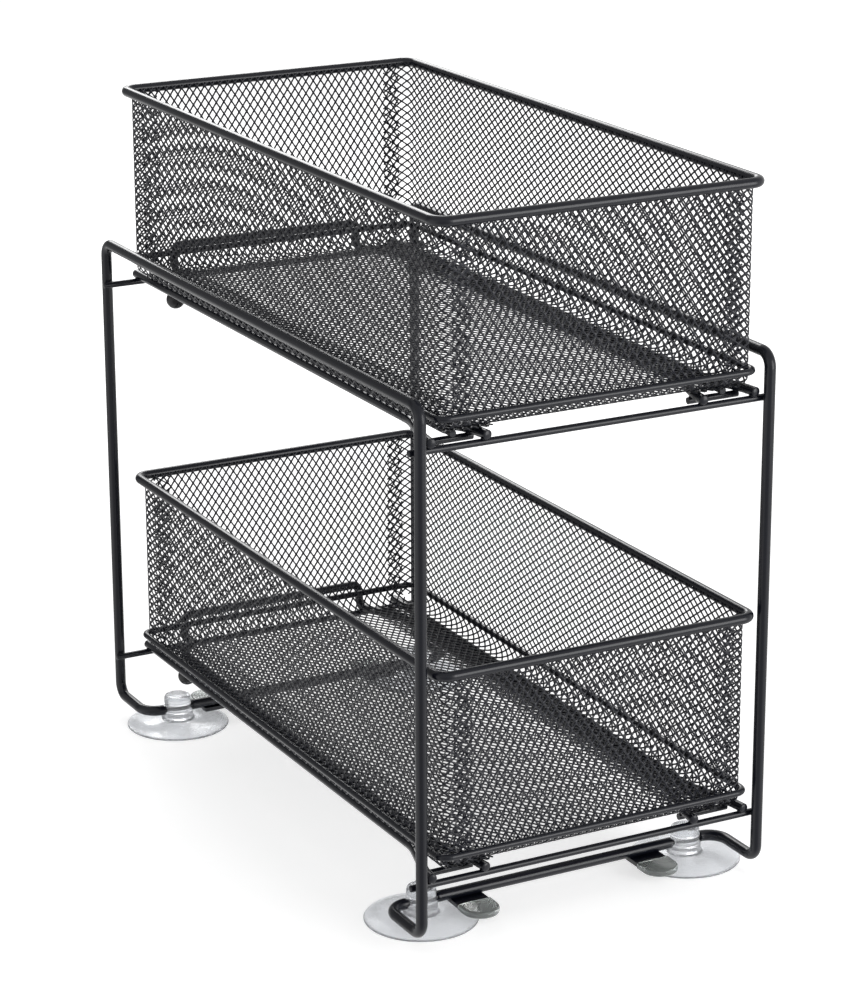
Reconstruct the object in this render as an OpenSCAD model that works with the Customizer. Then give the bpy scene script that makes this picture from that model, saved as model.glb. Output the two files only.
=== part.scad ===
// Two-tier pull-out cabinet basket: a bent wire frame on four suction cups,
// with two expanded-mesh drawers that slide on pairs of wire runners.
// The origin is on the floor, midway between the posts; drawers pull out along -Y.

/* [Frame] */
// Half distance between the two side hoops, to the wire centre
hoop_x = 100; // [96:1:110]
// Half distance between the front and rear posts, to the wire centre
post_y = 191.1; // [185:0.1:200]
// Height of the top rails, to the wire centre
rail_z = 286.1; // [282:0.1:308]
// Diameter of the hoop wire and of the two cross tubes
hoop_d = 6; // [5:0.5:7]
// Bend radius of the hoops' corners, to the wire centre
hoop_r = 7.5; // [7:0.5:12]
// Bend radius where each foot turns inward
foot_r = 10.5; // [8:0.5:10.5]
// Height of the feet and cross tubes, to the wire centre
foot_z = 9.7; // [9.3:0.1:11]
// Distance of the cross tubes from the centre, front and rear
foot_y = 153; // [145:0.5:158]
// Diameter of the spigots that plug through the cups into the tubes
spigot_d = 4; // [3:0.1:4.4]
// Depth of each spigot inside its tube
spigot_in = 12; // [6:1:20]

/* [Suction cups] */
// Diameter of the cup's lip
cup_d = 60; // [50:1:64]
// Height of the cup over its knob
cup_h = 18; // [16.5:0.1:19]
// Distance of the knobs' centres inside the hoops
cup_in = 20; // [19.8:0.1:24]
// Diameter of the knob's cap
knob_d = 15.2; // [14:0.1:15.6]

/* [Tabs] */
// Distance of the tabs from the middle plane
tab_x = 54; // [40:1:60]
// Width of the tabs
tab_w = 18.5; // [14:0.5:20]
// Reach of the tabs from the tube axis
tab_l = 25; // [20:0.5:28]
// Thickness of the tabs
tab_t = 2.2; // [1.8:0.1:2.6]
// Length of the clear cap on each tab
cap_l = 16; // [12:0.5:18]
// Wall thickness of the clear caps
cap_t = 0.9; // [0.8:0.1:1.2]

/* [Runners] */
// Height of the upper tier's cross wires, to the wire centre
upper_cross_z = 262.3; // [258:0.1:266]
// Height of the lower tier's cross wires, to the wire centre
lower_cross_z = 34.6; // [32:0.1:38]
// Diameter of the cross wires, ties, slider wires and bottom rings
thin_d = 3.6; // [3:0.1:4]
// Diameter of the runners
runner_d = 5; // [4:0.1:5]
// Distance of the slide channels from the middle plane
channel_x = 77.5; // [70:0.5:79]
// Half distance between a pair's two runners along the channel
pair_half = 5.4; // [5.2:0.1:5.6]
// Half distance between a pair's two runners at the open front ends
mouth_half = 15.5; // [13:0.5:15.5]
// Length of the flared stretch at the front
flare_len = 45; // [42:1:60]
// Height of the rear stop hump above the runners
hump_h = 13.6; // [11:0.1:14]
// Half width of the rear stop hump, to the wire centre
hump_x = 59; // [56:0.5:62]

/* [Drawers] */
// Half width of the rim, to the wire centre
rim_x = 91.6; // [90:0.1:93]
// Rim position in front of the centre, to the wire centre
rim_front = 193.6; // [190:0.1:196]
// Rim position behind the centre, to the wire centre
rim_rear = 179.4; // [175:0.1:181]
// Height of the rim above the tier's cross wires
rim_rise = 113.4; // [90:0.1:120]
// Diameter of the rim wire
rim_d = 5.4; // [4.5:0.1:5.8]
// Corner radius of the rim, to the wire centre
rim_r = 7; // [6:0.5:12]
// How far the lower drawer stands forward of the upper one
lower_forward = 1.7; // [0:0.1:4]
// Clearance between the drawer floor and the runners
floor_gap = 0.4; // [0.3:0.1:1]
// Diameter of the guide balls under the drawers
ball_d = 10.6; // [10:0.1:10.6]
// Distance of the guide balls behind the centre
ball_y = 145.5; // [120:0.5:148]

/* [Mesh] */
// Short way of one diamond of the mesh
mesh_short = 4.75; // [4:0.05:8]
// Long way of one diamond of the mesh
mesh_long = 6.9; // [5:0.1:10]
// Number of diamonds merged into one opening of the lattice
mesh_merge = 3; // [2:1:5]
// Width of the lattice strands
strand_w = 2.4; // [1.5:0.1:3]
// Thickness of the mesh sheet
sheet_t = 1.2; // [1:0.1:1.6]
// Width of the closed hem along the edges of a sheet
hem_w = 5; // [4:0.5:8]

/* [Hidden] */
$fn = 48;
bite = 0.05;              // depth of a weld's contact between two crossing wires
seam = 0.01;              // depth of contact along a whole wire
fit = 0.05;               // radial clearance of a plugged joint
face_gap = 0.4;           // gap between a knob's side and the tube or shoulder beside it
collar_h = 0.6;           // length of the ring that joins a slight bend's end faces
collar_over = 0.1;        // how much thicker that ring is than the wire
tab_top = foot_z - hoop_d / 2 + bite;
runner_rise = (thin_d + runner_d) / 2 - bite;
skirt_r = 8.8;             // radius of the knob's wider foot
cup_x = hoop_x - cup_in;
tube_end = cup_x - skirt_r - face_gap;
shoulder_x = cup_x + skirt_r + face_gap;
cross_y = post_y - (hoop_d + thin_d) / 2 + bite;
cross_end = hoop_x + 3.7;
tie_y = post_y - 17.1;
runner_front = post_y - 2.1;
runner_rear = post_y - 3.1;
hump_y = post_y - 2.6;
hump_r = 5;               // bend radius of the rear stop
sweep_r = 12;             // bend radius of the loop's inward sweep at the rear
sweep_a = 30;             // angle of that sweep
flare_r = 40;             // bend radius of the flared stretch
flare_a = 17;             // steepest angle of the flared stretch
flare_end_a = 7;          // angle at the runner's open end
floor_rise = runner_rise + runner_d / 2 + floor_gap;
wall_in = rim_d / 2 - seam; // wall's outer surface inside the rim's centre line
wall_r = rim_r - wall_in;
ring_out = thin_d / 2 - seam;
ring_rise = floor_rise + 9.2;
slider_rise = floor_rise - thin_d / 2 + seam;
slider_front = rim_front - 10.9;
slider_r = 2.5;           // bend radius above each ball
ball_drop = 6.5;          // ball's centre below the runners' centre
wall_x = rim_x - wall_in;
wall_front = rim_front - wall_in;
wall_rear = rim_rear - wall_in;
wall_h = rim_rise - floor_rise - sheet_t;
cell_short = mesh_short * mesh_merge;
cell_long = mesh_long * mesh_merge;

// ---- bent wire: straights and bends laid end to end along local +Z ----
function straight(l) = [l];
// a bend turns towards local +X after a roll about the wire
function bend(r, a, roll = 0) = [r, a, roll];

module wire(d, steps, i = 0) {
    if (i < len(steps)) {
        s = steps[i];
        if (len(s) == 1) {
            cylinder(d = d, h = s[0]);
            translate([0, 0, s[0]]) wire(d, steps, i + 1);
        } else rotate([0, 0, s[2]]) {
            if (s[1] < 90) collar(d);
            translate([s[0], 0, 0]) rotate([90, 0, 0]) rotate([0, 0, 180 - s[1]])
                rotate_extrude(angle = s[1]) translate([s[0], 0]) circle(d = d);
            translate([s[0] * (1 - cos(s[1])), 0, s[0] * sin(s[1])]) rotate([0, s[1], 0]) {
                if (s[1] < 90) collar(d);
                wire(d, steps, i + 1);
            }
        }
    }
}

// hair-thin ring that joins the end faces of a slight bend and its neighbour
module collar(d) {
    translate([0, 0, -collar_h / 2]) cylinder(d = d + collar_over, h = collar_h);
}

// a part drawn on the right-hand side, placed on either side of the middle plane
module on_side(side) {
    if (side < 0) mirror([1, 0, 0]) children();
    else children();
}

module bar_x(d, x0, x1) {
    translate([x0, 0, 0]) rotate([0, 90, 0]) cylinder(d = d, h = x1 - x0);
}

// ---- frame ----
// one wire: foot, front post, top rail, rear post, foot, with a spigot at both ends
module side_hoop(side) {
    shoulder_l = hoop_x - foot_r - shoulder_x;
    foot_l = post_y - hoop_r - foot_y - foot_r;
    post_l = rail_z - foot_z - 2 * hoop_r;
    rail_l = 2 * (post_y - hoop_r);
    steps = [
        straight(shoulder_l), bend(foot_r, 90), straight(foot_l),
        bend(hoop_r, 90, -90), straight(post_l),
        bend(hoop_r, 90), straight(rail_l), bend(hoop_r, 90), straight(post_l),
        bend(hoop_r, 90), straight(foot_l), bend(foot_r, 90, 90), straight(shoulder_l)];
    color("#26282b") on_side(side) {
        translate([shoulder_x, -foot_y, foot_z])
            rotate([-90, 0, 0]) rotate([0, 90, 0]) wire(hoop_d, steps);
        for (end = [-1, 1]) translate([0, end * foot_y, foot_z])
            bar_x(spigot_d, tube_end - spigot_in, shoulder_x + bite);
    }
}

module cross_tube(end) {
    color("#26282b") translate([0, end * foot_y, foot_z]) difference() {
        bar_x(hoop_d, -tube_end, tube_end);
        bar_x(spigot_d + 2 * fit, -tube_end - 1, tube_end + 1);
    }
}

// soft clear cup: thin bell, stepped knob and a cross hole for the spigot
module suction_cup(side, end) {
    lip = cup_d / 2;
    knob = knob_d / 2;
    profile = [
        [0, 2.4], [5, 2.4], [14, 1.9], [23, 1], [lip - 2, 0], [lip, 0], [lip, 0.9],
        [lip - 1.2, 1.4], [23.5, 2.3], [15, 3.4], [10.2, 4.1], [skirt_r, 4.7], [skirt_r, 8.2],
        [skirt_r - 0.6, 8.7], [7.9, 9.2], [7.9, 13.2], [knob, 13.8], [knob, cup_h - 1.7],
        [knob - 0.5, cup_h - 0.5], [knob - 1.6, cup_h], [0, cup_h]];
    color("#dfe6ea") on_side(side) translate([cup_x, end * foot_y, 0]) difference() {
        rotate_extrude($fn = 72) polygon(profile);
        translate([0, 0, foot_z]) bar_x(spigot_d + 2 * fit, -knob - 2, knob + 2);
    }
}

// outline of a tab from a straight back edge to its round outer end, grown by a margin
module tab_outline(back, margin = 0) {
    half = tab_w / 2 + margin;
    centre_y = tab_l - tab_w / 2;
    intersection() {
        translate([-half, back]) square([2 * half, tab_l + margin - back]);
        union() {
            translate([0, centre_y]) circle(r = half, $fn = 64);
            translate([-half, back]) square([2 * half, centre_y - back]);
        }
    }
}

// a part drawn at the rear, placed at either end
module at_end(end) {
    if (end < 0) mirror([0, 1, 0]) children();
    else children();
}

module tab(side, end) {
    color("#1f2123") at_end(end) on_side(side)
        translate([tab_x, foot_y, tab_top - tab_t])
            linear_extrude(tab_t) tab_outline(-hoop_d / 2);
}

// clear sleeve pushed over a tab's round end
module tab_cap(side, end) {
    start = tab_l + cap_t - cap_l;
    color("#b9c4c2") at_end(end) on_side(side)
        translate([tab_x, foot_y, tab_top - tab_t - cap_t]) difference() {
            linear_extrude(tab_t + 2 * cap_t) tab_outline(start, cap_t);
            translate([0, 0, cap_t - fit])
                linear_extrude(tab_t + 2 * fit) tab_outline(start - 1, fit);
        }
}

module cross_wire(cross_z, end) {
    color("#26282b") translate([0, end * cross_y, cross_z]) bar_x(thin_d, -cross_end, cross_end);
}

// ---- runners ----
// steps of the flared front stretch, which shifts a runner sideways by dx
function flare(dx, roll = 0) =
    let (ry = flare_len - flare_r * (2 * sin(flare_a) - sin(flare_end_a)),
         rx = dx - flare_r * (1 - 2 * cos(flare_a) + cos(flare_end_a)),
         turn = sin(flare_a - flare_end_a),
         steep = (rx * cos(flare_end_a) - ry * sin(flare_end_a)) / turn,
         easy = (ry * sin(flare_a) - rx * cos(flare_a)) / turn)
    [bend(flare_r, flare_a, roll), straight(steep),
     bend(flare_r, flare_a - flare_end_a, 180), straight(easy)];

module outer_runner(cross_z, side) {
    steps = concat([straight(runner_front - flare_len + runner_rear)],
                   flare(mouth_half - pair_half));
    color("#26282b") on_side(side)
        translate([channel_x + pair_half, runner_rear, cross_z + runner_rise])
            rotate([90, 0, 0]) wire(runner_d, steps);
}

// the two inner runners of a tier, one wire that climbs into the rear stop hump
module inner_runner_loop(cross_z) {
    dx = channel_x - pair_half - hump_x;
    sweep = 2 * sweep_r * (1 - cos(sweep_a));
    sweep_l = (dx - sweep) / sin(sweep_a);
    sweep_y = 2 * sweep_r * sin(sweep_a) + sweep_l * cos(sweep_a);
    run = hump_y - hump_r - sweep_y + runner_front - flare_len;
    steps = concat(
        [straight(hump_x - hump_r), bend(hump_r, 90), straight(hump_h - 2 * hump_r),
         bend(hump_r, 90, -90), bend(sweep_r, sweep_a, -90), straight(sweep_l),
         bend(sweep_r, sweep_a, 180), straight(run)],
        flare(mouth_half - pair_half));
    color("#26282b") for (side = [-1, 1]) on_side(side)
        translate([0, hump_y, cross_z + runner_rise + hump_h])
            rotate([0, 90, 0]) wire(runner_d, steps);
}

// short bar under a pair's flared ends, which stops the guide ball
module runner_tie(cross_z, side) {
    color("#26282b") on_side(side) translate([0, -tie_y, cross_z])
        bar_x(thin_d, channel_x - mouth_half + 0.1, channel_x + mouth_half - 1.2);
}

// ---- drawers: drawn with the tier's cross wires at z = 0 ----
module drawer_place(tier) {
    translate([0, tier < 0 ? -lower_forward : 0, tier < 0 ? lower_cross_z : upper_cross_z])
        children();
}

// closed wire loop lying flat, given by its half width and its front and rear distances
module wire_loop(d, x, front, rear, r) {
    side_l = front + rear - 2 * r;
    end_l = 2 * (x - r);
    steps = [straight(side_l), bend(r, 90), straight(end_l), bend(r, 90),
             straight(side_l), bend(r, 90), straight(end_l), bend(r, 90)];
    translate([x, -front + r, 0]) rotate([-90, 0, 0]) rotate([0, 0, 180]) wire(d, steps);
}

module drawer_rim(tier) {
    color("#202224") drawer_place(tier) translate([0, 0, rim_rise])
        wire_loop(rim_d, rim_x, rim_front, rim_rear, rim_r);
}

module drawer_bottom_ring(tier) {
    color("#202224") drawer_place(tier) translate([0, 0, ring_rise])
        wire_loop(thin_d, wall_x + ring_out, wall_front + ring_out,
                  wall_rear + ring_out, wall_r + ring_out);
}

// flat sheet of staggered diamond openings inside a closed hem
module mesh_sheet(w, h, cell_w, cell_h) {
    cols = floor((w - 2 * hem_w) / cell_w);
    rows = floor((h - 2 * hem_w) / (cell_h / 2)) - 1;
    a = (cell_w - strand_w) / 2;
    b = a * cell_h / cell_w;
    difference() {
        square([w, h]);
        for (j = [0 : rows - 1]) {
            count = cols - j % 2;
            for (i = [0 : count - 1])
                translate([w / 2 + (i - (count - 1) / 2) * cell_w,
                           h / 2 + (j - (rows - 1) / 2) * cell_h / 2])
                    polygon([[a, 0], [0, b], [-a, 0], [0, -b]]);
        }
    }
}

// end walls stand between the drawer's rounded corners
module drawer_mesh_end(tier, end) {
    w = 2 * (wall_x - wall_r);
    face_y = end < 0 ? -wall_front : wall_rear - sheet_t;
    color("#303236") drawer_place(tier)
        translate([-w / 2, face_y + sheet_t, floor_rise + sheet_t]) rotate([90, 0, 0])
            linear_extrude(sheet_t) mesh_sheet(w, wall_h, cell_short, cell_long);
}

module drawer_mesh_side(tier, side) {
    w = wall_front + wall_rear - 2 * wall_r;
    color("#303236") drawer_place(tier) on_side(side)
        translate([wall_x - sheet_t, wall_r - wall_front, floor_rise + sheet_t])
            rotate([90, 0, 90]) linear_extrude(sheet_t)
                mesh_sheet(w, wall_h, cell_long, cell_short);
}

// doubled sheet bent round the four upright corners
module drawer_mesh_corners(tier) {
    color("#303236") drawer_place(tier) translate([0, 0, floor_rise + sheet_t])
        for (side = [-1, 1], end = [-1, 1])
            on_side(side)
                translate([wall_x - wall_r, end < 0 ? wall_r - wall_front : wall_rear - wall_r, 0])
                    rotate([0, 0, end < 0 ? -90 : 0]) rotate_extrude(angle = 90)
                        translate([wall_r - sheet_t, 0]) square([sheet_t, wall_h]);
}

module drawer_mesh_floor(tier) {
    w = 2 * wall_x;
    h = wall_front + wall_rear;
    color("#303236") drawer_place(tier) translate([-wall_x, -wall_front, floor_rise])
        linear_extrude(sheet_t) intersection() {
            mesh_sheet(w, h, cell_short, cell_long);
            union() {
                translate([wall_r, 0]) square([w - 2 * wall_r, h]);
                translate([0, wall_r]) square([w, h - 2 * wall_r]);
                for (x = [wall_r, w - wall_r], y = [wall_r, h - wall_r])
                    translate([x, y]) circle(r = wall_r, $fn = 64);
            }
        }
}

// wire welded under the drawer floor, bent down at the rear into the guide ball
module slider_wire(tier, side) {
    ball_rise = runner_rise - ball_drop;
    steps = [straight(slider_front + ball_y - slider_r), bend(slider_r, 90),
             straight(slider_rise - slider_r - ball_rise)];
    color("#26282b") drawer_place(tier) on_side(side)
        translate([channel_x, -slider_front, slider_rise])
            rotate([-90, 0, 0]) rotate([0, 0, 90]) wire(thin_d, steps);
}

module guide_ball(tier, side) {
    color("#1b1c1e") drawer_place(tier) on_side(side)
        translate([channel_x, ball_y, runner_rise - ball_drop]) difference() {
            sphere(d = ball_d, $fn = 64);
            translate([0, 0, -fit]) cylinder(d = thin_d + 2 * fit, h = ball_d);
        }
}

side_hoop(-1);  // left_side_hoop
side_hoop(1);  // right_side_hoop
cross_tube(-1);  // front_cross_tube
cross_tube(1);  // rear_cross_tube
suction_cup(-1, -1);  // front_left_suction_cup
suction_cup(1, -1);  // front_right_suction_cup
suction_cup(-1, 1);  // rear_left_suction_cup
suction_cup(1, 1);  // rear_right_suction_cup
tab(-1, -1);  // front_left_tab
tab(1, -1);  // front_right_tab
tab(-1, 1);  // rear_left_tab
tab(1, 1);  // rear_right_tab
tab_cap(-1, -1);  // front_left_tab_cap
tab_cap(1, -1);  // front_right_tab_cap
tab_cap(-1, 1);  // rear_left_tab_cap
tab_cap(1, 1);  // rear_right_tab_cap
cross_wire(upper_cross_z, -1);  // upper_front_cross_wire
cross_wire(upper_cross_z, 1);  // upper_rear_cross_wire
cross_wire(lower_cross_z, -1);  // lower_front_cross_wire
cross_wire(lower_cross_z, 1);  // lower_rear_cross_wire
outer_runner(upper_cross_z, -1);  // upper_left_outer_runner
outer_runner(upper_cross_z, 1);  // upper_right_outer_runner
outer_runner(lower_cross_z, -1);  // lower_left_outer_runner
outer_runner(lower_cross_z, 1);  // lower_right_outer_runner
inner_runner_loop(upper_cross_z);  // upper_inner_runner_loop
inner_runner_loop(lower_cross_z);  // lower_inner_runner_loop
runner_tie(upper_cross_z, -1);  // upper_left_runner_tie
runner_tie(upper_cross_z, 1);  // upper_right_runner_tie
runner_tie(lower_cross_z, -1);  // lower_left_runner_tie
runner_tie(lower_cross_z, 1);  // lower_right_runner_tie
drawer_rim(1);  // upper_drawer_rim
drawer_bottom_ring(1);  // upper_drawer_bottom_ring
drawer_mesh_end(1, -1);  // upper_drawer_mesh_front
drawer_mesh_end(1, 1);  // upper_drawer_mesh_rear
drawer_mesh_side(1, -1);  // upper_drawer_mesh_left
drawer_mesh_side(1, 1);  // upper_drawer_mesh_right
drawer_mesh_floor(1);  // upper_drawer_mesh_floor
drawer_mesh_corners(1);  // upper_drawer_mesh_corners
slider_wire(1, -1);  // upper_left_slider_wire
slider_wire(1, 1);  // upper_right_slider_wire
guide_ball(1, -1);  // upper_left_guide_ball
guide_ball(1, 1);  // upper_right_guide_ball
drawer_rim(-1);  // lower_drawer_rim
drawer_bottom_ring(-1);  // lower_drawer_bottom_ring
drawer_mesh_end(-1, -1);  // lower_drawer_mesh_front
drawer_mesh_end(-1, 1);  // lower_drawer_mesh_rear
drawer_mesh_side(-1, -1);  // lower_drawer_mesh_left
drawer_mesh_side(-1, 1);  // lower_drawer_mesh_right
drawer_mesh_floor(-1);  // lower_drawer_mesh_floor
drawer_mesh_corners(-1);  // lower_drawer_mesh_corners
slider_wire(-1, -1);  // lower_left_slider_wire
slider_wire(-1, 1);  // lower_right_slider_wire
guide_ball(-1, -1);  // lower_left_guide_ball
guide_ball(-1, 1);  // lower_right_guide_ball
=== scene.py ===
# %% [markdown]
# A pull-out cabinet basket: a bent wire frame on four suction cups carries two drawers of
# expanded steel mesh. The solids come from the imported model. This notebook dresses them:
# it sets up the studio, gives every wire its powder coat, folds the mesh at its true pitch
# and moulds the soft cups and caps.

# %% Load the solid model as the frame
import math
import bmesh
import bpy
from mathutils import Matrix, Vector


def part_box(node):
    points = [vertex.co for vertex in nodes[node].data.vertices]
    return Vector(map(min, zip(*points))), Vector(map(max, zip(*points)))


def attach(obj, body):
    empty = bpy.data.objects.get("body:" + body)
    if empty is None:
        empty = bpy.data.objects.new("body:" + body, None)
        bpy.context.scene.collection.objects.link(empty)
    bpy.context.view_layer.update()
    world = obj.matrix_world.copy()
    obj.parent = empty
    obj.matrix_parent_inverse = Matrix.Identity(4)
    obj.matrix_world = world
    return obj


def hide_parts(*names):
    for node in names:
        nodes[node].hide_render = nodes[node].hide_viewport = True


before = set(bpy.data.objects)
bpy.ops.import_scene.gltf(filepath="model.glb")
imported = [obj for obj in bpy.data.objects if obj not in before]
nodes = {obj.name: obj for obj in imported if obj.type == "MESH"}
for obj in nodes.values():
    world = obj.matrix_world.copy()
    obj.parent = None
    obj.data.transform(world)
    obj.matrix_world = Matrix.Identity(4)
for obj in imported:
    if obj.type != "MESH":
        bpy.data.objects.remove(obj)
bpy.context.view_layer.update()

MM = 0.001

# %% [markdown]
# The camera stands in front and to the left, a little above the basket, and looks down at
# it. A long lens keeps the four posts nearly parallel. The lens is given in millimetres on
# a 36 mm sensor that spans the taller side of the render. Three angles aim it: how far it
# turns to the side, how far it dips, and a trace of roll.

# %% Camera
CAMERA_PLACE = Vector((-0.8040, -1.5140, 0.7268))
TURN, DIP, ROLL = (math.radians(angle) for angle in (-28.20, 18.00, -0.16))

camera_data = bpy.data.cameras.new("studio_camera")
camera_data.sensor_width = 36
camera_data.lens = 118.19
camera_data.clip_start, camera_data.clip_end = 0.05, 60
camera = bpy.data.objects.new("studio_camera", camera_data)
bpy.context.scene.collection.objects.link(camera)
bpy.context.scene.camera = camera

ahead = Vector((-math.sin(TURN) * math.cos(DIP), math.cos(TURN) * math.cos(DIP),
                -math.sin(DIP)))
level = Vector((math.cos(TURN), math.sin(TURN), 0))
rise = level.cross(ahead)
right = level * math.cos(ROLL) + rise * math.sin(ROLL)
up = right.cross(ahead)
camera.matrix_world = Matrix.Translation(CAMERA_PLACE) @ Matrix(
    (right, up, -ahead)).transposed().to_4x4()
print("camera looks along", [round(c, 3) for c in ahead])

# %% [markdown]
# Materials, the world and Geometry Nodes are all trees of nodes, so four small helpers
# build them: one adds a node and wires its inputs, one does arithmetic on numbers, one on
# vectors, and one turns one range of numbers into another. A few nodes have several inputs
# with the same name. Those are picked by their place in the list.

# %% Small helpers for node trees
def add(tree, kind, links=None, **settings):
    """Adds a node, sets its properties, then links or sets its inputs."""
    made = tree.nodes.new(kind)
    for key, value in settings.items():
        setattr(made, key, value)
    for key, value in (links or {}).items():
        if isinstance(value, bpy.types.NodeSocket):
            tree.links.new(value, made.inputs[key])
        else:
            made.inputs[key].default_value = value
    return made


def math_node(tree, operation, a, b=0.0):
    return add(tree, "ShaderNodeMath", {0: a, 1: b}, operation=operation).outputs[0]


def vector_node(tree, operation, a, b=None, scale=None):
    links = {0: a}
    if b is not None:
        links[1] = b
    if scale is not None:
        links["Scale"] = scale
    made = add(tree, "ShaderNodeVectorMath", links, operation=operation)
    return made.outputs["Value" if operation == "DOT_PRODUCT" else "Vector"]


def ramp(tree, value, start, stop, before, after, blend="LINEAR"):
    """Runs from before to after while value runs from start to stop."""
    return add(tree, "ShaderNodeMapRange",
               {"Value": value, "From Min": start, "From Max": stop, "To Min": before,
                "To Max": after}, interpolation_type=blend).outputs[0]


print("node helpers are ready")

# %% [markdown]
# A glossy black object is lit by what it reflects. An upright wire seen from above only
# reflects what lies low around the studio, so the world is dim in front, where the camera
# stands, and pale on both sides: that gives each post a dark middle between two streaks.
# It dims again overhead and behind to the left, which the left rims and rails reflect. The
# camera itself sees plain white, also through the clear cups.

# %% Studio: the world
TO_FRONT = (-0.45, -0.84, -0.31)        # where the upright wires look, as the camera sees them
TO_BACK_LEFT = (-0.46, 0.86, 0.22)      # where the left rims and rails look
SIDES, FRONT, OVERHEAD, BACK_LEFT = 0.92, 0.42, 0.52, 0.36

world = bpy.data.worlds.new("studio")
bpy.context.scene.world = world
world.use_nodes = True
tree = world.node_tree
tree.nodes.clear()
towards = add(tree, "ShaderNodeTexCoord").outputs["Generated"]
low_ring = ramp(tree, vector_node(tree, "DOT_PRODUCT", towards, TO_FRONT),
                0.60, 0.98, SIDES, FRONT, "SMOOTHSTEP")
height = ramp(tree, vector_node(tree, "DOT_PRODUCT", towards, (0, 0, 1)),
              0.0, 0.6, low_ring, OVERHEAD)
screen = ramp(tree, vector_node(tree, "DOT_PRODUCT", towards, TO_BACK_LEFT),
              0.72, 0.94, 1.0, BACK_LEFT, "SMOOTHSTEP")
glow = math_node(tree, "MULTIPLY", height, screen)


def seen_plainly(tree):
    """One where the camera looks straight or through clear vinyl, and nought elsewhere."""
    path = add(tree, "ShaderNodeLightPath").outputs
    return math_node(tree, "MAXIMUM", path["Is Camera Ray"], path["Is Transmission Ray"])


strength = add(tree, "ShaderNodeMix", {0: seen_plainly(tree), 2: glow, 3: 1.0}).outputs[0]
background = add(tree, "ShaderNodeBackground", {"Color": (1, 1, 1, 1), "Strength": strength})
add(tree, "ShaderNodeOutputWorld", {"Surface": background.outputs[0]})
print("world glows", FRONT, "in front and", SIDES, "at the sides")

# %% [markdown]
# Two soft boxes do the rest. One high up behind draws the white line along the rims, and a
# low one to the front right draws the thin line along every wire that runs across.

# %% Studio: the soft boxes
AIM = Vector((0, 0, 0.2))


def soft_box(name, place, width, depth, power):
    lamp = bpy.data.lights.new(name, "AREA")
    lamp.shape, lamp.size, lamp.size_y, lamp.energy = "RECTANGLE", width, depth, power
    made = bpy.data.objects.new(name, lamp)
    made.matrix_world = Matrix.Translation(place) @ (
        Vector(place) - AIM).to_track_quat("Z", "Y").to_matrix().to_4x4()
    made.visible_camera = False
    bpy.context.scene.collection.objects.link(made)


soft_box("back_box", (0.46, 1.68, 1.18), 0.9, 0.8, 12)
soft_box("front_right_box", (0.81, -1.57, 0.47), 0.9, 1.1, 10)
print("studio has", len(bpy.data.lights), "lamps")

# %% [markdown]
# The floor is a sheet of pale paper. It takes light and shadow like paper, and for the
# camera it also glows a little by itself, so that it ends as white as the background and
# still keeps a soft shadow under the basket. It lies a hair below the cups' lips. Mirror
# rays pass it by, because the wires would show its far edge as a hard line.

# %% Studio: the floor
FLOOR_HALF, FLOOR_DROP = 15, 0.3 * MM
PAPER_WHITE, PAPER_GLOW = 0.86, 0.62

floor_mesh = bpy.data.meshes.new("studio_floor")
floor_mesh.from_pydata([(x * FLOOR_HALF, y * FLOOR_HALF, -FLOOR_DROP)
                        for x, y in ((-1, -1), (1, -1), (1, 1), (-1, 1))], [], [(0, 1, 2, 3)])
studio_floor = bpy.data.objects.new("studio_floor", floor_mesh)
bpy.context.scene.collection.objects.link(studio_floor)
studio_floor.visible_glossy = False

paper = bpy.data.materials.new("pale_paper")
paper.use_nodes = True
tree = paper.node_tree
tree.nodes.clear()
lit = add(tree, "ShaderNodeBsdfDiffuse", {"Color": (PAPER_WHITE, PAPER_WHITE, PAPER_WHITE, 1)})
own = add(tree, "ShaderNodeEmission", {"Color": (1, 1, 1, 1), "Strength": PAPER_GLOW})
both = add(tree, "ShaderNodeAddShader", {0: lit.outputs[0], 1: own.outputs[0]})
choice = add(tree, "ShaderNodeMixShader",
             {0: seen_plainly(tree), 1: lit.outputs[0], 2: both.outputs[0]})
add(tree, "ShaderNodeOutputMaterial", {"Surface": choice.outputs[0]})
floor_mesh.materials.append(paper)
print("the floor is", 2 * FLOOR_HALF, "metres wide")

# %% [markdown]
# Powder coat is sprayed on dry and melted in an oven. It keeps a fine orange-peel skin,
# its tone drifts a little, and it is duller where it lies thin. The wires, the rims and
# the mesh all wear it, so it is one node group that each material places with its own
# values. Object coordinates keep it still on every wire.

# %% Powder coat grain as a shared node group
DRIFT_SCALE, PEEL_DEPTH = 38.0, 0.06 * MM
SLOW_SHARE, PEEL_SHARE = 0.7, 0.3       # how much each noise adds to the tone


def shader_group(name, inputs, outputs):
    group = bpy.data.node_groups.new(name, "ShaderNodeTree")
    for label, value in inputs:
        socket = group.interface.new_socket(
            label, in_out="INPUT", socket_type="NodeSocketFloat")
        socket.default_value = value
    for label, kind in outputs:
        group.interface.new_socket(label, in_out="OUTPUT", socket_type="NodeSocket" + kind)
    return group, add(group, "NodeGroupInput").outputs, add(group, "NodeGroupOutput").inputs


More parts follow.
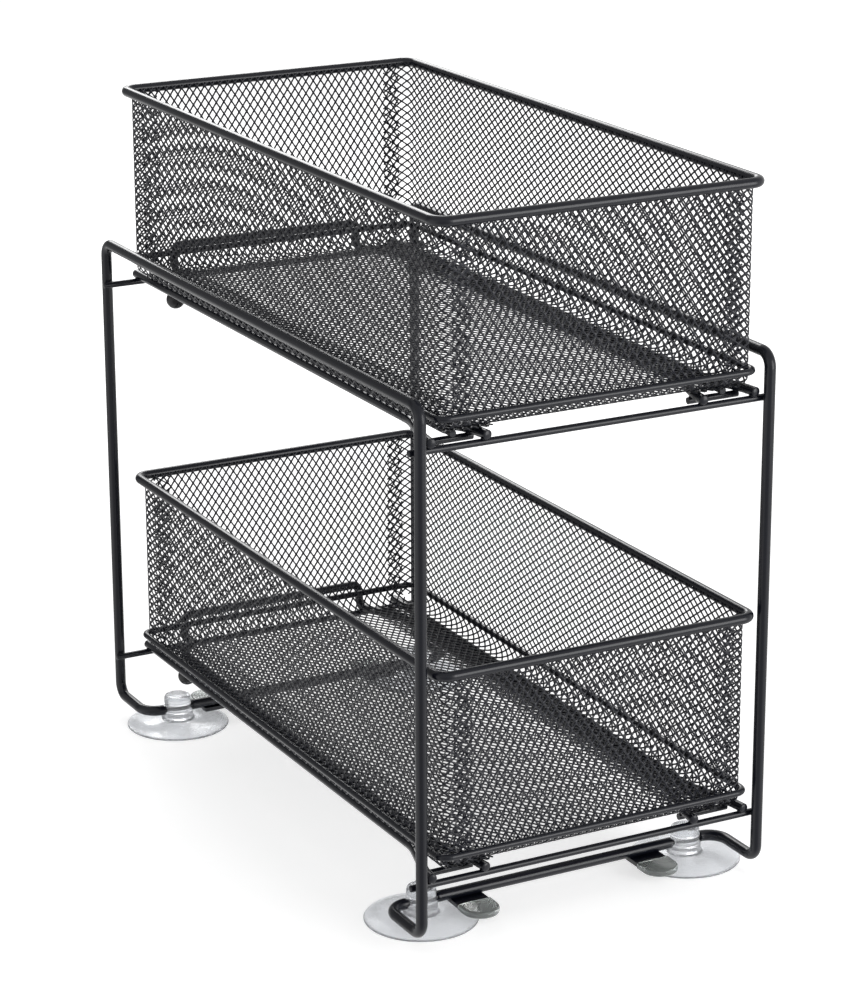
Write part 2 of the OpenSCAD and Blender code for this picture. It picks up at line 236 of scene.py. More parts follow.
grain, given, result = shader_group(
    "coat_grain",
    [("Grain Scale", 1400.0), ("Grain Depth", 0.25), ("Gloss Base", 0.34),
     ("Gloss Spread", 0.12)],
    [("Tone", "Float"), ("Roughness", "Float"), ("Normal", "Vector")])
here = add(grain, "ShaderNodeTexCoord").outputs["Object"]
peel = add(grain, "ShaderNodeTexNoise",
           {"Vector": here, "Scale": given["Grain Scale"], "Detail": 2.0}).outputs[0]
drift = add(grain, "ShaderNodeTexNoise",
            {"Vector": here, "Scale": DRIFT_SCALE, "Detail": 3.0}).outputs[0]
skin = add(grain, "ShaderNodeBump",
           {"Strength": given["Grain Depth"], "Distance": PEEL_DEPTH, "Height": peel})
mixed = math_node(grain, "ADD", math_node(grain, "MULTIPLY", drift, SLOW_SHARE),
                  math_node(grain, "MULTIPLY", peel, PEEL_SHARE))
spread = math_node(grain, "MULTIPLY", math_node(grain, "SUBTRACT", mixed, 0.5),
                   given["Gloss Spread"])
roughness = math_node(grain, "ADD", given["Gloss Base"], spread)
grain.links.new(mixed, result["Tone"])
grain.links.new(roughness, result["Roughness"])
grain.links.new(skin.outputs[0], result["Normal"])
print("group", grain.name, "has", len(grain.nodes), "nodes")

# %% [markdown]
# The black is very dark and leans to blue. The wires are glossy, the mesh a little duller,
# because its thin strands take less coat, and the guide balls are smooth moulded plastic.

# %% Coats for the wires, the mesh and the balls
def finish_of(name, plain=None):
    """A new material with a Principled shader whose plain sockets are set."""
    material = bpy.data.materials.new(name)
    material.use_nodes = True
    tree = material.node_tree
    tree.nodes.clear()
    shader = add(tree, "ShaderNodeBsdfPrincipled", plain)
    add(tree, "ShaderNodeOutputMaterial", {"Surface": shader.outputs[0]})
    return material, tree, shader.inputs


def coated(name, dark, light, **values):
    """A material whose colour runs from dark to light with the coat's tone."""
    material, tree, surface = finish_of(name)
    group = add(tree, "ShaderNodeGroup", node_tree=grain)
    for key, value in values.items():
        group.inputs[key.replace("_", " ").title()].default_value = value
    colour = add(tree, "ShaderNodeMix",
                 {0: group.outputs["Tone"], 6: (*dark, 1), 7: (*light, 1)}, data_type="RGBA")
    tree.links.new(colour.outputs[2], surface["Base Color"])
    tree.links.new(group.outputs["Roughness"], surface["Roughness"])
    tree.links.new(group.outputs["Normal"], surface["Normal"])
    return material


wire_coat = coated("black_wire_coat", (0.0045, 0.0052, 0.010), (0.008, 0.0095, 0.017),
                   grain_scale=1500.0, grain_depth=0.15, gloss_base=0.25, gloss_spread=0.12)
mesh_coat = coated("black_mesh_coat", (0.0055, 0.0066, 0.013), (0.011, 0.0125, 0.022),
                   grain_scale=2600.0, grain_depth=0.1, gloss_base=0.34, gloss_spread=0.16)
ball_plastic = coated("black_ball_plastic", (0.003, 0.003, 0.004), (0.006, 0.006, 0.008),
                      grain_scale=700.0, grain_depth=0.08, gloss_base=0.2, gloss_spread=0.06)
print("coats:", [m.name for m in (wire_coat, mesh_coat, ball_plastic)])

# %% [markdown]
# The cups and the tab caps are soft clear vinyl. It is never as clean as glass: it is a
# little milky, has a greasy gloss and blurs what is seen through it. Part of the light
# goes through and part is scattered, so the transmission stays below one. The cups are
# moulded smooth, and the dipped caps are wavier and a little green.

# %% Clear vinyl
VINYL_IOR = 1.45
WAVE_SCALE, WAVE_DEPTH, HAZE_SCALE = 70.0, 0.5 * MM, 240.0
GLOSSIEST, DULLEST = 0.8, 1.25      # shares of the roughness at both ends of the haze


def vinyl(name, tint, clear, gloss, waviness):
    """Clear vinyl; clear is the share of the light that goes through."""
    material, tree, surface = finish_of(
        name, {"Transmission Weight": clear, "IOR": VINYL_IOR, "Base Color": (*tint, 1)})
    here = add(tree, "ShaderNodeTexCoord").outputs["Object"]
    wave, haze = (add(tree, "ShaderNodeTexNoise",
                      {"Vector": here, "Scale": scale, "Detail": detail}).outputs[0]
                  for scale, detail in ((WAVE_SCALE, 1.0), (HAZE_SCALE, 3.0)))
    bump = add(tree, "ShaderNodeBump",
               {"Strength": waviness, "Distance": WAVE_DEPTH, "Height": wave})
    rough = ramp(tree, haze, 0.3, 0.7, gloss * GLOSSIEST, gloss * DULLEST)
    tree.links.new(rough, surface["Roughness"])
    tree.links.new(bump.outputs[0], surface["Normal"])
    return material


cup_vinyl = vinyl("clear_cup_vinyl", (0.92, 0.935, 0.96), 0.85, 0.20, 0.04)
cap_vinyl = vinyl("clear_cap_vinyl", (0.86, 0.90, 0.88), 0.88, 0.10, 0.12)
print("vinyls:", [m.name for m in (cup_vinyl, cap_vinyl)])

# %% [markdown]
# Most solids already have the right shape and only need their finish, which follows from
# their names. The solids that are replaced further on get one too, so that none is bare.

# %% Give each solid its finish
for name, solid in nodes.items():
    coat = (ball_plastic if "ball" in name else cup_vinyl if "cup" in name
            else cap_vinyl if "cap" in name else mesh_coat if "mesh" in name else wire_coat)
    if solid.material_slots:
        for material_slot in solid.material_slots:
            material_slot.material = coat
    else:
        solid.data.materials.append(coat)
print("finished", len(nodes), "solids")

# %% [markdown]
# Expanded metal starts as one steel sheet. A toothed knife slits it and pulls it open in
# the same stroke, so a diamond lattice is left in which every strand runs into a wider
# knot, the bond, and every bond is tipped a little out of the sheet. The whole lattice is
# one small shape repeated: a bond with four half strands. It is drawn once here, and a
# Geometry Nodes tree stands it on every point of a staggered grid.

# %% One bond with its four half strands
SHORT_WAY, LONG_WAY = 4.75 * MM, 6.9 * MM       # pitch of the diamonds
STRAND, GAUGE = 0.80 * MM, 0.52 * MM            # width and thickness of a strand
TIP = 0.07 * MM                                 # how far a bond is tipped up and down
KNOT_SHORT, KNOT_LONG = 0.52 * MM, 0.76 * MM    # half sizes of a bond


def bond_layer(mesh, height):
    """The corners of a bond and of its strands' ends on one face of the sheet."""
    reach = Vector((SHORT_WAY / 4, LONG_WAY / 4))
    across = Vector((reach.y, -reach.x)).normalized() * STRAND / 2
    corners = [mesh.verts.new((x, y, height + TIP * x / KNOT_SHORT))
               for x, y in ((KNOT_SHORT, 0), (0, KNOT_LONG), (-KNOT_SHORT, 0), (0, -KNOT_LONG))]
    tips = []
    for i, (x_way, y_way) in enumerate(((1, 1), (-1, 1), (-1, -1), (1, -1))):
        tip = Vector((x_way * reach.x, y_way * reach.y))
        side = Vector((x_way * across.x, y_way * across.y))
        pair = [tip + side, tip - side]
        if i % 2:
            pair.reverse()
        tips.append([mesh.verts.new((p.x, p.y, height)) for p in pair])
    return corners, tips


def bond_shape():
    mesh = bmesh.new()
    (low, low_tips), (high, high_tips) = (bond_layer(mesh, z) for z in (-GAUGE / 2, GAUGE / 2))
    for corners, tips, order in ((low, low_tips, -1), (high, high_tips, 1)):
        mesh.faces.new(corners[::order])
        for i, (first, second) in enumerate(tips):
            mesh.faces.new([corners[i], first, second, corners[(i + 1) % 4]][::order])
    for i in range(4):
        k = (i + 1) % 4
        mesh.faces.new([low[i], low_tips[i][0], high_tips[i][0], high[i]])
        mesh.faces.new([low[k], low_tips[i][1], high_tips[i][1], high[k]][::-1])
    bmesh.ops.recalc_face_normals(mesh, faces=mesh.faces[:])
    data = bpy.data.meshes.new("bond")
    mesh.to_mesh(data)
    mesh.free()
    return data


bond = bpy.data.objects.new("bond", bond_shape())
print("one bond has", len(bond.data.polygons), "faces")

# %% [markdown]
# Every Geometry Nodes tree here begins and ends alike: named inputs, and at the end the
# instances are made real and get their material. Two helpers do that.

# %% Helpers for Geometry Nodes
def geometry_tree(name, sockets):
    """A new tree with its inputs, the sockets they come out of, and its open end."""
    tree = bpy.data.node_groups.new(name, "GeometryNodeTree")
    tree.is_modifier = True
    tree.interface.new_socket("Geometry", in_out="OUTPUT", socket_type="NodeSocketGeometry")
    for label, kind in [("Geometry", "Geometry")] + sockets:
        tree.interface.new_socket(label, in_out="INPUT", socket_type="NodeSocket" + kind)
    return tree, add(tree, "NodeGroupInput").outputs, add(tree, "NodeGroupOutput").inputs[0]


def finish_tree(tree, geometry, material, tree_end):
    whole = add(tree, "GeometryNodeRealizeInstances", {"Geometry": geometry})
    coat = add(tree, "GeometryNodeSetMaterial",
               {"Geometry": whole.outputs[0], "Material": material})
    tree.links.new(coat.outputs[0], tree_end)


print("geometry helpers are ready")

# %% [markdown]
# The first tree makes a flat sheet. It takes the number of bonds both ways, the pitch, and
# the part of the sheet to keep. Two grids with the same middle, one of them a bond shorter
# each way, make the staggered pattern. A notch cuts away the sheet's lower corners, as a
# tin snip would, where it would double up in a fold.

# %% Geometry Nodes: the staggered points of a sheet
lattice, given, tree_end = geometry_tree("expanded_sheet", [
    ("Bond", "Object"), ("Columns", "Int"), ("Rows", "Int"), ("Short Way", "Float"),
    ("Long Way", "Float"), ("Keep From", "Vector"), ("Keep To", "Vector"),
    ("Notch Below", "Float"), ("Notch Beyond", "Float"), ("Turn", "Vector"),
    ("Place", "Vector"), ("Material", "Material")])
points = add(lattice, "GeometryNodeJoinGeometry")
for fewer in (0, 1):
    columns, rows = (math_node(lattice, "SUBTRACT", given[label], fewer)
                     for label in ("Columns", "Rows"))
    wide, long = (math_node(lattice, "MULTIPLY", math_node(lattice, "SUBTRACT", count, 1),
                            given[label])
                  for count, label in ((columns, "Short Way"), (rows, "Long Way")))
    grid = add(lattice, "GeometryNodeMeshGrid",
               {"Size X": wide, "Size Y": long, "Vertices X": columns, "Vertices Y": rows})
    lattice.links.new(grid.outputs[0], points.inputs[0])

position = add(lattice, "GeometryNodeInputPosition").outputs[0]
spot, low, high = (add(lattice, "ShaderNodeSeparateXYZ", {"Vector": vector}).outputs
                   for vector in (position, given["Keep From"], given["Keep To"]))
beyond = math_node(lattice, "GREATER_THAN", math_node(lattice, "ABSOLUTE", spot["Y"]),
                   given["Notch Beyond"])
below = math_node(lattice, "LESS_THAN", spot["X"], given["Notch Below"])
waste = math_node(lattice, "MULTIPLY", beyond, below)
for axis in ("X", "Y"):
    for less, more in ((spot[axis], low[axis]), (high[axis], spot[axis])):
        waste = math_node(lattice, "MAXIMUM", waste,
                          math_node(lattice, "LESS_THAN", less, more))
kept = add(lattice, "GeometryNodeDeleteGeometry",
           {"Geometry": points.outputs[0], "Selection": waste}, domain="POINT")
print("the points take", len(lattice.nodes), "nodes")

# %% [markdown]
# A bond is stood on every point that is kept. Where half strands meet, their ends are
# merged into one strand, and the finished sheet is turned and put in its place.

# %% Geometry Nodes: a bond on every point
MEET = 0.02 * MM        # ends closer than this are one

shape = add(lattice, "GeometryNodeObjectInfo", {"Object": given["Bond"]})
stood = add(lattice, "GeometryNodeInstanceOnPoints",
            {"Points": kept.outputs[0], "Instance": shape.outputs["Geometry"]})
whole = add(lattice, "GeometryNodeRealizeInstances", {"Geometry": stood.outputs[0]})
welded = add(lattice, "GeometryNodeMergeByDistance",
             {"Geometry": whole.outputs[0], "Distance": MEET})
smooth = add(lattice, "GeometryNodeSetShadeSmooth", {"Geometry": welded.outputs[0]})
turned = add(lattice, "GeometryNodeTransform", {
    "Geometry": smooth.outputs[0], "Rotation": given["Turn"], "Translation": given["Place"]})
finish_tree(lattice, turned.outputs[0], given["Material"], tree_end)
print("tree", lattice.name, "has", len(lattice.nodes), "nodes")

# %% [markdown]
# A drawer is folded like a box from three flat sheets. The middle one is the front, floor
# and rear in one strip. Each side sheet wraps both upright corners and tucks a flange
# under the floor, and at the top every sheet is wrapped a little way over the rim wire. So
# one more tree does all the bends: past a start line it rolls the sheet round a radius
# towards one side, through any angle, and carries the rest on straight.

# %% Geometry Nodes: fold a sheet along a line
fold, given, tree_end = geometry_tree("fold_sheet", [
    ("Along", "Vector"), ("Towards", "Vector"), ("Start", "Float"), ("Radius", "Float"),
    ("Angle", "Float"), ("Base", "Float")])
radius, start_line = given["Radius"], given["Start"]
position = add(fold, "GeometryNodeInputPosition").outputs[0]
along = vector_node(fold, "DOT_PRODUCT", position, given["Along"])
side = math_node(fold, "SUBTRACT",
                 vector_node(fold, "DOT_PRODUCT", position, given["Towards"]), given["Base"])
past = math_node(fold, "MAXIMUM", math_node(fold, "SUBTRACT", along, start_line), 0.0)
bend = math_node(fold, "MINIMUM", math_node(fold, "DIVIDE", past, radius), given["Angle"])
rest = math_node(fold, "SUBTRACT", past, math_node(fold, "MULTIPLY", bend, radius))
arm = math_node(fold, "SUBTRACT", radius, side)
sine, cosine = (math_node(fold, kind, bend) for kind in ("SINE", "COSINE"))
arm_sine, arm_cosine, rest_sine, rest_cosine = (
    math_node(fold, "MULTIPLY", length, part)
    for length in (arm, rest) for part in (sine, cosine))
new_along = math_node(fold, "ADD", math_node(fold, "MINIMUM", along, start_line),
                      math_node(fold, "ADD", arm_sine, rest_cosine))
new_side = math_node(fold, "ADD", math_node(fold, "SUBTRACT", radius, arm_cosine), rest_sine)
shift = vector_node(
    fold, "ADD",
    vector_node(fold, "SCALE", given["Along"],
                scale=math_node(fold, "SUBTRACT", new_along, along)),
    vector_node(fold, "SCALE", given["Towards"],
                scale=math_node(fold, "SUBTRACT", new_side, side)))
moved = add(fold, "GeometryNodeSetPosition", {"Geometry": given["Geometry"], "Offset": shift})
fold.links.new(moved.outputs[0], tree_end)
print("tree", fold.name, "has", len(fold.nodes), "nodes")

# %% [markdown]
# A finished tree is run as a modifier. Its inputs are set by their identifiers before the
# first evaluation, the result is copied to a plain mesh, and the maker is thrown away. The
# piece that is kept has its place in its mesh and rides on the body it belongs to.

# %% Run trees on an object and keep the plain mesh
def keep_piece(name, data, body, stands_for=()):
    data.name = name
    piece = bpy.data.objects.new(name, data)
    bpy.context.scene.collection.objects.link(piece)
    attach(piece, body)
    if stands_for:
        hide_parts(*stands_for)
    data.calc_loop_triangles()
    print(name, len(data.loop_triangles), "triangles")


def run_trees(name, steps, body, stands_for=(), points=()):
    """Runs (tree, values) steps in turn on a mesh of bare points and keeps the result."""
    bare = bpy.data.meshes.new("maker")
    bare.from_pydata([tuple(p) for p in points], [], [])
    maker = bpy.data.objects.new("maker", bare)
    bpy.context.scene.collection.objects.link(maker)
    for tree, values in steps:
        modifier = maker.modifiers.new(tree.name, "NODES")
        modifier.node_group = tree
        for item in tree.interface.items_tree:
            if item.in_out == "INPUT" and item.name in values:
                modifier[item.identifier] = values[item.name]
    bpy.context.view_layer.update()
    graph = bpy.context.evaluated_depsgraph_get()
    data = bpy.data.meshes.new_from_object(maker.evaluated_get(graph), depsgraph=graph)
    bpy.data.objects.remove(maker)
    keep_piece(name, data, body, stands_for)


# %% [markdown]
# Each sheet is laid out flat, in place, before it is folded: the middle sheet level with
# the floor, the side sheets standing. The end walls are bent up round a wider radius than
# the side walls, whose edge stays tight above the runners.

# %% What a drawer's sheets have in common
END_FOLD_R = 9.0 * MM      # bend between the floor and the end walls, to the sheet's middle
SIDE_FOLD_R = 6.0 * MM     # bend between the side walls and their flanges
WRAP = math.radians(20)    # how far a sheet goes round the rim wire
OUTER, INNER = 0.25, 0.75  # where the two layers lie in a wall's thickness
QUARTER = math.pi / 2
BEYOND = 9.0               # a distance past the edge of any sheet


def fold_step(along, towards, start, radius, angle, base):
    return fold, {"Along": along, "Towards": towards, "Start": start, "Radius": radius,
                  "Angle": angle, "Base": base}


def sheet_step(counts, keep_from, keep_to, turn, place, notch=(-BEYOND, BEYOND)):
    return lattice, {"Bond": bond, "Columns": counts[0], "Rows": counts[1],
                     "Short Way": SHORT_WAY, "Long Way": LONG_WAY,
                     "Keep From": (*keep_from, 0), "Keep To": (*keep_to, 0),
                     "Notch Below": notch[0], "Notch Beyond": notch[1],
                     "Turn": turn, "Place": place, "Material": mesh_coat}


def keep_sheet(tier, part, steps, *wall_names):
    run_trees(f"{tier}_{part}_sheet", steps, f"{tier}_drawer",
              [f"{tier}_drawer_mesh_{wall}" for wall in wall_names])


# %% [markdown]
# The middle sheet lies inside the side sheets, so its middle is three quarters of the
# wall's thickness in from the outer face. It is folded whole but kept as three pieces,
# front, floor and rear, one for each wall of the solid model.

# %% Fold a middle sheet
MIDDLE_COLUMNS = 35        # bonds across the strip, which leaves the corners to the sides


def fold_middle_sheet(tier, floor_low, floor_high, rim_z, wire_r):
    inset = INNER * (floor_high.z - floor_low.z)
    level = floor_low.z + inset
    near, far = floor_low.y + inset, floor_high.y - inset
    middle = (near + far) / 2
    bend_at = (far - near) / 2 - END_FOLD_R
    wrap_at = bend_at + END_FOLD_R * QUARTER + (rim_z - level - END_FOLD_R)
    cut_at = wrap_at + (wire_r + inset) * WRAP
    counts = MIDDLE_COLUMNS, 2 * math.ceil(cut_at / LONG_WAY) + 1
    folds = [fold_step((0, way, 0), (0, 0, -1), wrap_at + way * middle, wire_r + inset,
                       WRAP, -level) for way in (-1, 1)]
    folds += [fold_step((0, way, 0), (0, 0, 1), bend_at + way * middle, END_FOLD_R,
                        QUARTER, level) for way in (-1, 1)]
    for part, start, stop in (("front", -cut_at, -bend_at), ("floor", -bend_at, bend_at),
                              ("rear", bend_at, cut_at)):
        sheet = sheet_step(counts, (-BEYOND, start), (BEYOND, stop), (0, 0, 0),
                           (0, middle, level))
        keep_sheet(tier, part, [sheet] + folds, part)


# %% [markdown]
# The side sheets lie outside, so their middle is one quarter of the wall's thickness in.
# Each gets four bends: over the rim, under the floor, and round both upright corners. Its
# lower corners are notched, so that the laps end in the fold and not below it.

# %% Fold a side sheet
LAP = 11.0 * MM            # how far a side sheet laps onto the end walls
FLANGE = 27.0 * MM         # how far it runs under the floor
NOTCH_UP = 3.0 * MM        # how far the notch reaches above the flange's level
NOTCH_IN = 0.4             # how far into the corner it starts, as a share of the radius


def fold_side_sheet(tier, side, floor_low, floor_high, rim_z, wire_r, corner):
    inset = OUTER * (floor_high.z - floor_low.z)
    way = -1 if side == "left" else 1
    wall = floor_high.x - inset
    bottom = floor_low.z + inset
    middle = (floor_low.y + floor_high.y) / 2
    straight = (floor_high.y - floor_low.y) / 2 - corner
    corner_r = corner - inset
    low_end = bottom + SIDE_FOLD_R - SIDE_FOLD_R * QUARTER - FLANGE
    high_end = rim_z + (wire_r + inset) * WRAP
    long_end = straight + corner_r * QUARTER + LAP
    centre = (low_end + high_end) / 2
    counts = (math.ceil((high_end - low_end) / SHORT_WAY) + 1,
              2 * math.ceil(long_end / LONG_WAY) + 1)
    inward, base = (-way, 0, 0), -wall
    folds = [fold_step((0, 0, 1), (way, 0, 0), rim_z, wire_r + inset, WRAP, wall),
             fold_step((0, 0, -1), inward, -(bottom + SIDE_FOLD_R), SIDE_FOLD_R, QUARTER,
                       base)]
    folds += [fold_step((0, end_way, 0), inward, straight + end_way * middle, corner_r,
                        QUARTER, base) for end_way in (-1, 1)]
    sheet = sheet_step(counts, (low_end - centre, -long_end), (high_end - centre, long_end),
                       (0, -QUARTER, 0), (way * wall, middle, centre),
                       (bottom + NOTCH_UP - centre, straight + NOTCH_IN * corner_r))
    keep_sheet(tier, side, [sheet] + folds, side, "corners")


# %% Fold both drawers
for tier in ("upper", "lower"):
    floor_low, floor_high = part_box(f"{tier}_drawer_mesh_floor")
    rim_low, rim_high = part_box(f"{tier}_drawer_rim")
    rim_z, wire_r = (rim_low.z + rim_high.z) / 2, (rim_high.z - rim_low.z) / 2
    corner = floor_high.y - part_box(f"{tier}_drawer_mesh_left")[1].y
    fold_middle_sheet(tier, floor_low, floor_high, rim_z, wire_r)
    for side in ("left", "right"):
        fold_side_sheet(tier, side, floor_low, floor_high, rim_z, wire_r, corner)
bpy.data.objects.remove(bond)

# %% [markdown]
# The soft pieces are skinned from rings of points, and holes are cut out of them with
# other skins. The cut is a Boolean modifier whose result becomes a plain mesh.

# %% Skins from rings, and holes in them
SHARP = math.radians(50)   # edges that turn more than this stay crisp


def ring_shell(rings):
    """Skins rings of points of equal count and closes the first and the last one."""
    mesh = bmesh.new()
    loops = [[mesh.verts.new(p) for p in ring] for ring in rings]
    count = len(loops[0])
    for below, above in zip(loops, loops[1:]):
        for i in range(count):
            k = (i + 1) % count
            mesh.faces.new((below[i], below[k], above[k], above[i]))
    mesh.faces.new(loops[0][::-1])
    mesh.faces.new(loops[-1])
    bmesh.ops.recalc_face_normals(mesh, faces=mesh.faces[:])
    data = bpy.data.meshes.new("shell")
    mesh.to_mesh(data)
    mesh.free()
    return data


def cut_out(data, cutter):
    """Takes the cutter's shape out of a mesh and keeps the plain result."""
    body, tool = (bpy.data.objects.new("cut", m) for m in (data, cutter))
    for made in (body, tool):
        bpy.context.scene.collection.objects.link(made)
    modifier = body.modifiers.new("cut", "BOOLEAN")
    modifier.operation, modifier.object, modifier.solver = "DIFFERENCE", tool, "EXACT"
    bpy.context.view_layer.update()
    graph = bpy.context.evaluated_depsgraph_get()
    result = bpy.data.meshes.new_from_object(body.evaluated_get(graph), depsgraph=graph)
    for made in (body, tool):
        bpy.data.objects.remove(made)
    result.shade_smooth()
    result.set_sharp_from_angle(angle=SHARP)
    return result


def keep_soft(name, data, place, vinyl_used, stands_for):
    """Moves a soft shell to its place, gives it its vinyl and puts it on the frame."""
    data.transform(Matrix.Translation(place))
    data.materials.clear()
    data.materials.append(vinyl_used)
    keep_piece(name, data, "frame", [stands_for])


# %% [markdown]
# The suction cups are moulded bodies of revolution, so a profile is spun round the upright
# axis: a thin bell with a soft lip, a skirt, and a knob with a broad button on top. Every
# corner of the profile is rounded first, as the mould leaves it. A corner is a distance
# from the axis, a height and a reach of rounding, all in millimetres. The profile stops
# just short of the axis, and a tiny flat face closes each pole.

# %% The suction cup's profile
CUP_PROFILE = [
    (0.02, 2.4), (5, 2.4, 2), (14, 1.9, 4), (23, 1, 4), (28, 0.05, 1), (29.6, 0, 0.3),
    (30, 0.4, 0.2), (29.7, 0.8, 0.3), (28, 1.3, 1.5), (23.5, 2.2, 3), (15, 3.4, 3),
    (10, 4.1, 1.2), (8.8, 4.9, 0.5), (8.7, 8.1, 0.5), (7.9, 8.9, 0.5), (7.75, 12.9, 0.6),
    (7.95, 13.8, 0.4), (7.9, 16.4, 0.8), (7.3, 17.8, 0.9), (5.6, 18.0, 0.8), (0.02, 18.0)]
CORNER_STEPS = 5
CORNER_SHARE = 0.45        # no rounding takes more than this share of an edge


def rounded(corners):
    """Replaces each corner by a short curve that starts its reach before it."""
    curve = [Vector(corners[0])]
    for before, (x, y, reach), after in zip(corners, corners[1:], corners[2:]):
        corner = Vector((x, y))
        arms = [Vector(other[:2]) - corner for other in (before, after)]
        start, stop = (corner + arm.normalized() * min(reach, CORNER_SHARE * arm.length)
                       for arm in arms)
        for i in range(CORNER_STEPS + 1):
            t = i / CORNER_STEPS
            curve.append(start * (1 - t) ** 2 + corner * 2 * t * (1 - t) + stop * t * t)
    return curve + [Vector(corners[-1])]


profile = rounded(CUP_PROFILE)
print("the cup's profile has", len(profile), "points")

# %% [markdown]
# The hoop's thin spigot runs through the knob into the cross tube, at the tube's height,
# so a round hole is cut there. One cup is made and copied to its four places.

# %% Spin the suction cups
TURNS, HOLE_SIDES = 96, 48
HOLE_R, HOLE_HALF = 2.05 * MM, 12 * MM

tube_low, tube_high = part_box("front_cross_tube")
hole_z = (tube_low.z + tube_high.z) / 2


def around(sides):
    """Cosine and sine of the corners of a regular polygon."""
    return [(math.cos(math.tau * i / sides), math.sin(math.tau * i / sides))
            for i in range(sides)]


spun = ring_shell([[(p.x * MM * c, p.x * MM * s, p.y * MM) for c, s in around(TURNS)]
                   for p in profile])
hole = ring_shell([[(x, HOLE_R * c, hole_z + HOLE_R * s) for c, s in around(HOLE_SIDES)]
                   for x in (-HOLE_HALF, HOLE_HALF)])
cup_mesh = cut_out(spun, hole)
for end in ("front", "rear"):
    for side in ("left", "right"):
        node_name = f"{end}_{side}_suction_cup"
        low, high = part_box(node_name)
        keep_soft(f"{node_name}_shell", cup_mesh.copy(),
                  ((low.x + high.x) / 2, (low.y + high.y) / 2, low.z), cup_vinyl, node_name)

# %% [markdown]
# A tab cap is a dipped sleeve: flat, round at its end, with soft edges all round. It is
# skinned from copies of one outline that shrink towards the top and bottom, and the steel
# tab's own outline is taken out of it.

# %% Mould the tab caps
EDGE_R, EDGE_STEPS = 1.7 * MM, 14       # the soft edge, from underside to top
TIP_STEPS = 40                          # corners of the round tip
FIT = 0.05 * MM                         # air between the steel and the vinyl
SLOT_BACK = 2 * MM                      # how far the slot's cutter sticks out at the back


def tab_outline(half, tip, root, way, inset, height):
    """A straight tab with a round end; way is the direction its end points in, along y."""
    reach, centre = half - inset, tip - way * half
    arc = [math.pi * i / TIP_STEPS for i in range(TIP_STEPS + 1)]
    return ([(reach, root, height)]
            + [(reach * math.cos(a), centre + way * reach * math.sin(a), height) for a in arc]
            + [(-reach, root, height)])


def cap_shell(cap_name, tab_name, way):
    low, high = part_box(cap_name)
    tab_low, tab_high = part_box(tab_name)
    tip, root = (high.y, low.y) if way > 0 else (low.y, high.y)
    tab_tip = tab_high.y if way > 0 else tab_low.y
    half, middle = (high.x - low.x) / 2, (high.z + low.z) / 2
    straight = (high.z - low.z) / 2 - EDGE_R
    outer = []
    for i in range(EDGE_STEPS + 1):
        angle = math.pi * (i / EDGE_STEPS - 0.5)
        height = middle + math.copysign(straight, angle) + EDGE_R * math.sin(angle)
        outer.append(tab_outline(half, tip, root, way, EDGE_R * (1 - math.cos(angle)), height))
    slot_half = (tab_high.x - tab_low.x) / 2 + FIT
    slot = [tab_outline(slot_half, tab_tip + way * FIT, root - way * SLOT_BACK, way, 0, height)
            for height in (tab_low.z - FIT, tab_high.z + FIT)]
    keep_soft(f"{cap_name}_sleeve", cut_out(ring_shell(outer), ring_shell(slot)),
              ((low.x + high.x) / 2, 0, 0), cap_vinyl, cap_name)


for end, way in (("front", -1), ("rear", 1)):
    for side in ("left", "right"):
        cap_shell(f"{end}_{side}_tab_cap", f"{end}_{side}_tab", way)

# %% [markdown]
# Where wires cross they are welded, and the coat rounds the joint off. A cut wire's end is
# domed by the coat too. Both are small buttons, so one tree stands a squashed ball on every
# point it is given and turns it.

# %% Geometry Nodes: buttons of weld and coat
buttons, given, tree_end = geometry_tree("coat_buttons", [
    ("Size", "Vector"), ("Turn", "Vector"), ("Material", "Material")])
ball = add(buttons, "GeometryNodeMeshUVSphere", {"Segments": 24, "Rings": 10, "Radius": 1.0})
stood = add(buttons, "GeometryNodeInstanceOnPoints", {
    "Points": given["Geometry"], "Instance": ball.outputs[0], "Scale": given["Size"],
    "Rotation": given["Turn"]})
smooth = add(buttons, "GeometryNodeSetShadeSmooth", {"Geometry": stood.outputs[0]})
finish_tree(buttons, smooth.outputs[0], given["Material"], tree_end)
print("tree", buttons.name, "has", len(buttons.nodes), "nodes")

# %% [markdown]
# The places of the buttons follow from the wires' own boxes. A cross wire has a dome on
# each end and a weld bead where it meets a post. The front wires lie behind their posts and
# the rear ones before them, so a bead sits on the outer side of its wire.

# %% Where the cross wires end and meet the posts
def radius_of(name):
    """Half the height of a level wire or tube."""
    low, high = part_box(name)
    return (high.z - low.z) / 2


runner_r, cross_r, hoop_r = (radius_of(name) for name in (
    "upper_left_outer_runner", "upper_front_cross_wire", "front_cross_tube"))
post_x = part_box("right_side_hoop")[1].x - hoop_r
cross_ends, post_welds = [], []
for tier in ("upper", "lower"):
    for end, way in (("front", -1), ("rear", 1)):
        low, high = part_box(f"{tier}_{end}_cross_wire")
        middle = (low + high) / 2
        for x in (low.x, high.x):
            cross_ends.append((x, middle.y, middle.z))
            post_welds.append((math.copysign(post_x, x), middle.y + way * cross_r, middle.z))
print(len(cross_ends), "cross wire ends")

# %% [markdown]
# A pair of runners stands astride the drawer's guide ball, and both of its wires flare
# apart towards the front. They are welded to the cross wires, on top of them, and to the
# tie under their flared ends. Each open end is turned outwards a little and its dome with
# it, so the middle of the dome lies a hair behind the wire's foremost point.

# %% Where the runners end and are welded
CLIMB = math.radians(7)        # how far a runner's open end is turned outwards
TIE_SHIFT = 0.55 * MM          # from the tie's middle out to the middle of its pair
IN_AT_CROSS, IN_AT_TIE = 0.3 * MM, 2.2 * MM     # how far inwards of its widest line it is there

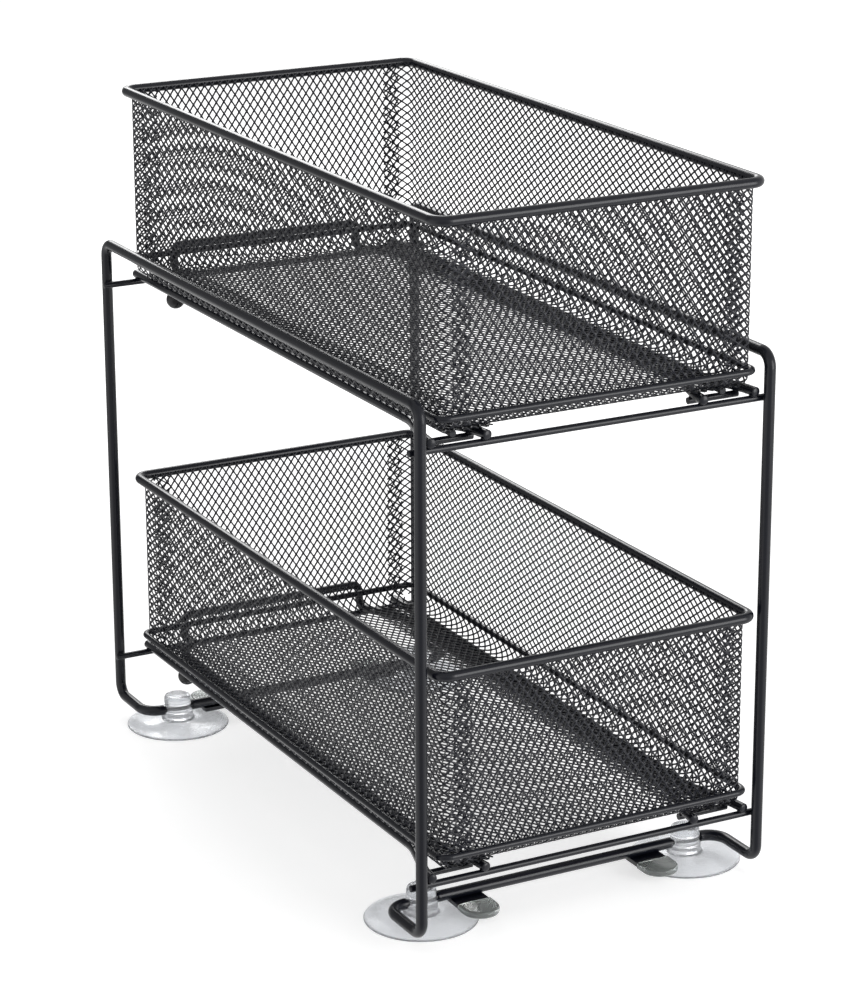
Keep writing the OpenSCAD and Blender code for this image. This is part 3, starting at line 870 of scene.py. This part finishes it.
runner_ends, runner_welds, tie_welds = {1: [], -1: []}, [], []
for tier in ("upper", "lower"):
    cross_low, cross_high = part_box(f"{tier}_front_cross_wire")
    rear_low, rear_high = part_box(f"{tier}_rear_cross_wire")
    front_y, rear_y = (cross_low.y + cross_high.y) / 2, (rear_low.y + rear_high.y) / 2
    for side, way in (("left", -1), ("right", 1)):
        low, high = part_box(f"{tier}_{side}_outer_runner")
        tie_low, tie_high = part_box(f"{tier}_{side}_runner_tie")
        outer_x = (high.x if way > 0 else low.x) - way * runner_r
        inner_x = tie_low.x + tie_high.x + way * 2 * TIE_SHIFT - outer_x
        for x, lean in ((outer_x, way), (inner_x, -way)):
            runner_ends[lean].append((x, low.y + 0.5 * runner_r * math.sin(CLIMB),
                                      (low.z + high.z) / 2))
            runner_welds.append((x - lean * IN_AT_CROSS, front_y, cross_high.z))
            tie_welds.append((x - lean * IN_AT_TIE, (tie_low.y + tie_high.y) / 2,
                              tie_high.z))
        rear_x = (low.x if way > 0 else high.x) + way * runner_r
        runner_welds.append((rear_x, rear_y, cross_high.z))
print(len(runner_welds), "runner welds and", len(tie_welds), "tie welds")

# %% [markdown]
# The sizes of a button are its half width, half depth and half height. A dome is a hair
# smaller than its wire, so that it meets it without a ledge.

# %% Dome the wire ends and fill the welds
RUNNER_DOME, CROSS_DOME = (0.995, 0.3, 0.995), (0.35, 0.99, 0.99)      # in radii of the wire


def add_buttons(name, places, size, turn=(0, 0, 0)):
    run_trees(name, [(buttons, {"Size": size, "Turn": turn, "Material": wire_coat})], "frame",
              points=places)


for lean, name in ((1, "right"), (-1, "left")):
    add_buttons(f"runner_ends_{name}", runner_ends[lean],
                [runner_r * part for part in RUNNER_DOME], (0, 0, lean * CLIMB))
add_buttons("cross_wire_ends", cross_ends, [cross_r * part for part in CROSS_DOME])
add_buttons("post_welds", post_welds, (2.0 * MM, 1.0 * MM, 2.0 * MM))
add_buttons("runner_welds", runner_welds, (1.7 * MM, 1.7 * MM, 0.8 * MM))
add_buttons("tie_welds", tie_welds, (1.5 * MM, 1.5 * MM, 0.8 * MM))

# %% [markdown]
# Its box has to stay inside the solid model's box. The plain view transform shows each
# colour as it is written.

# %% The view transform
bpy.context.scene.view_settings.view_transform = "Standard"
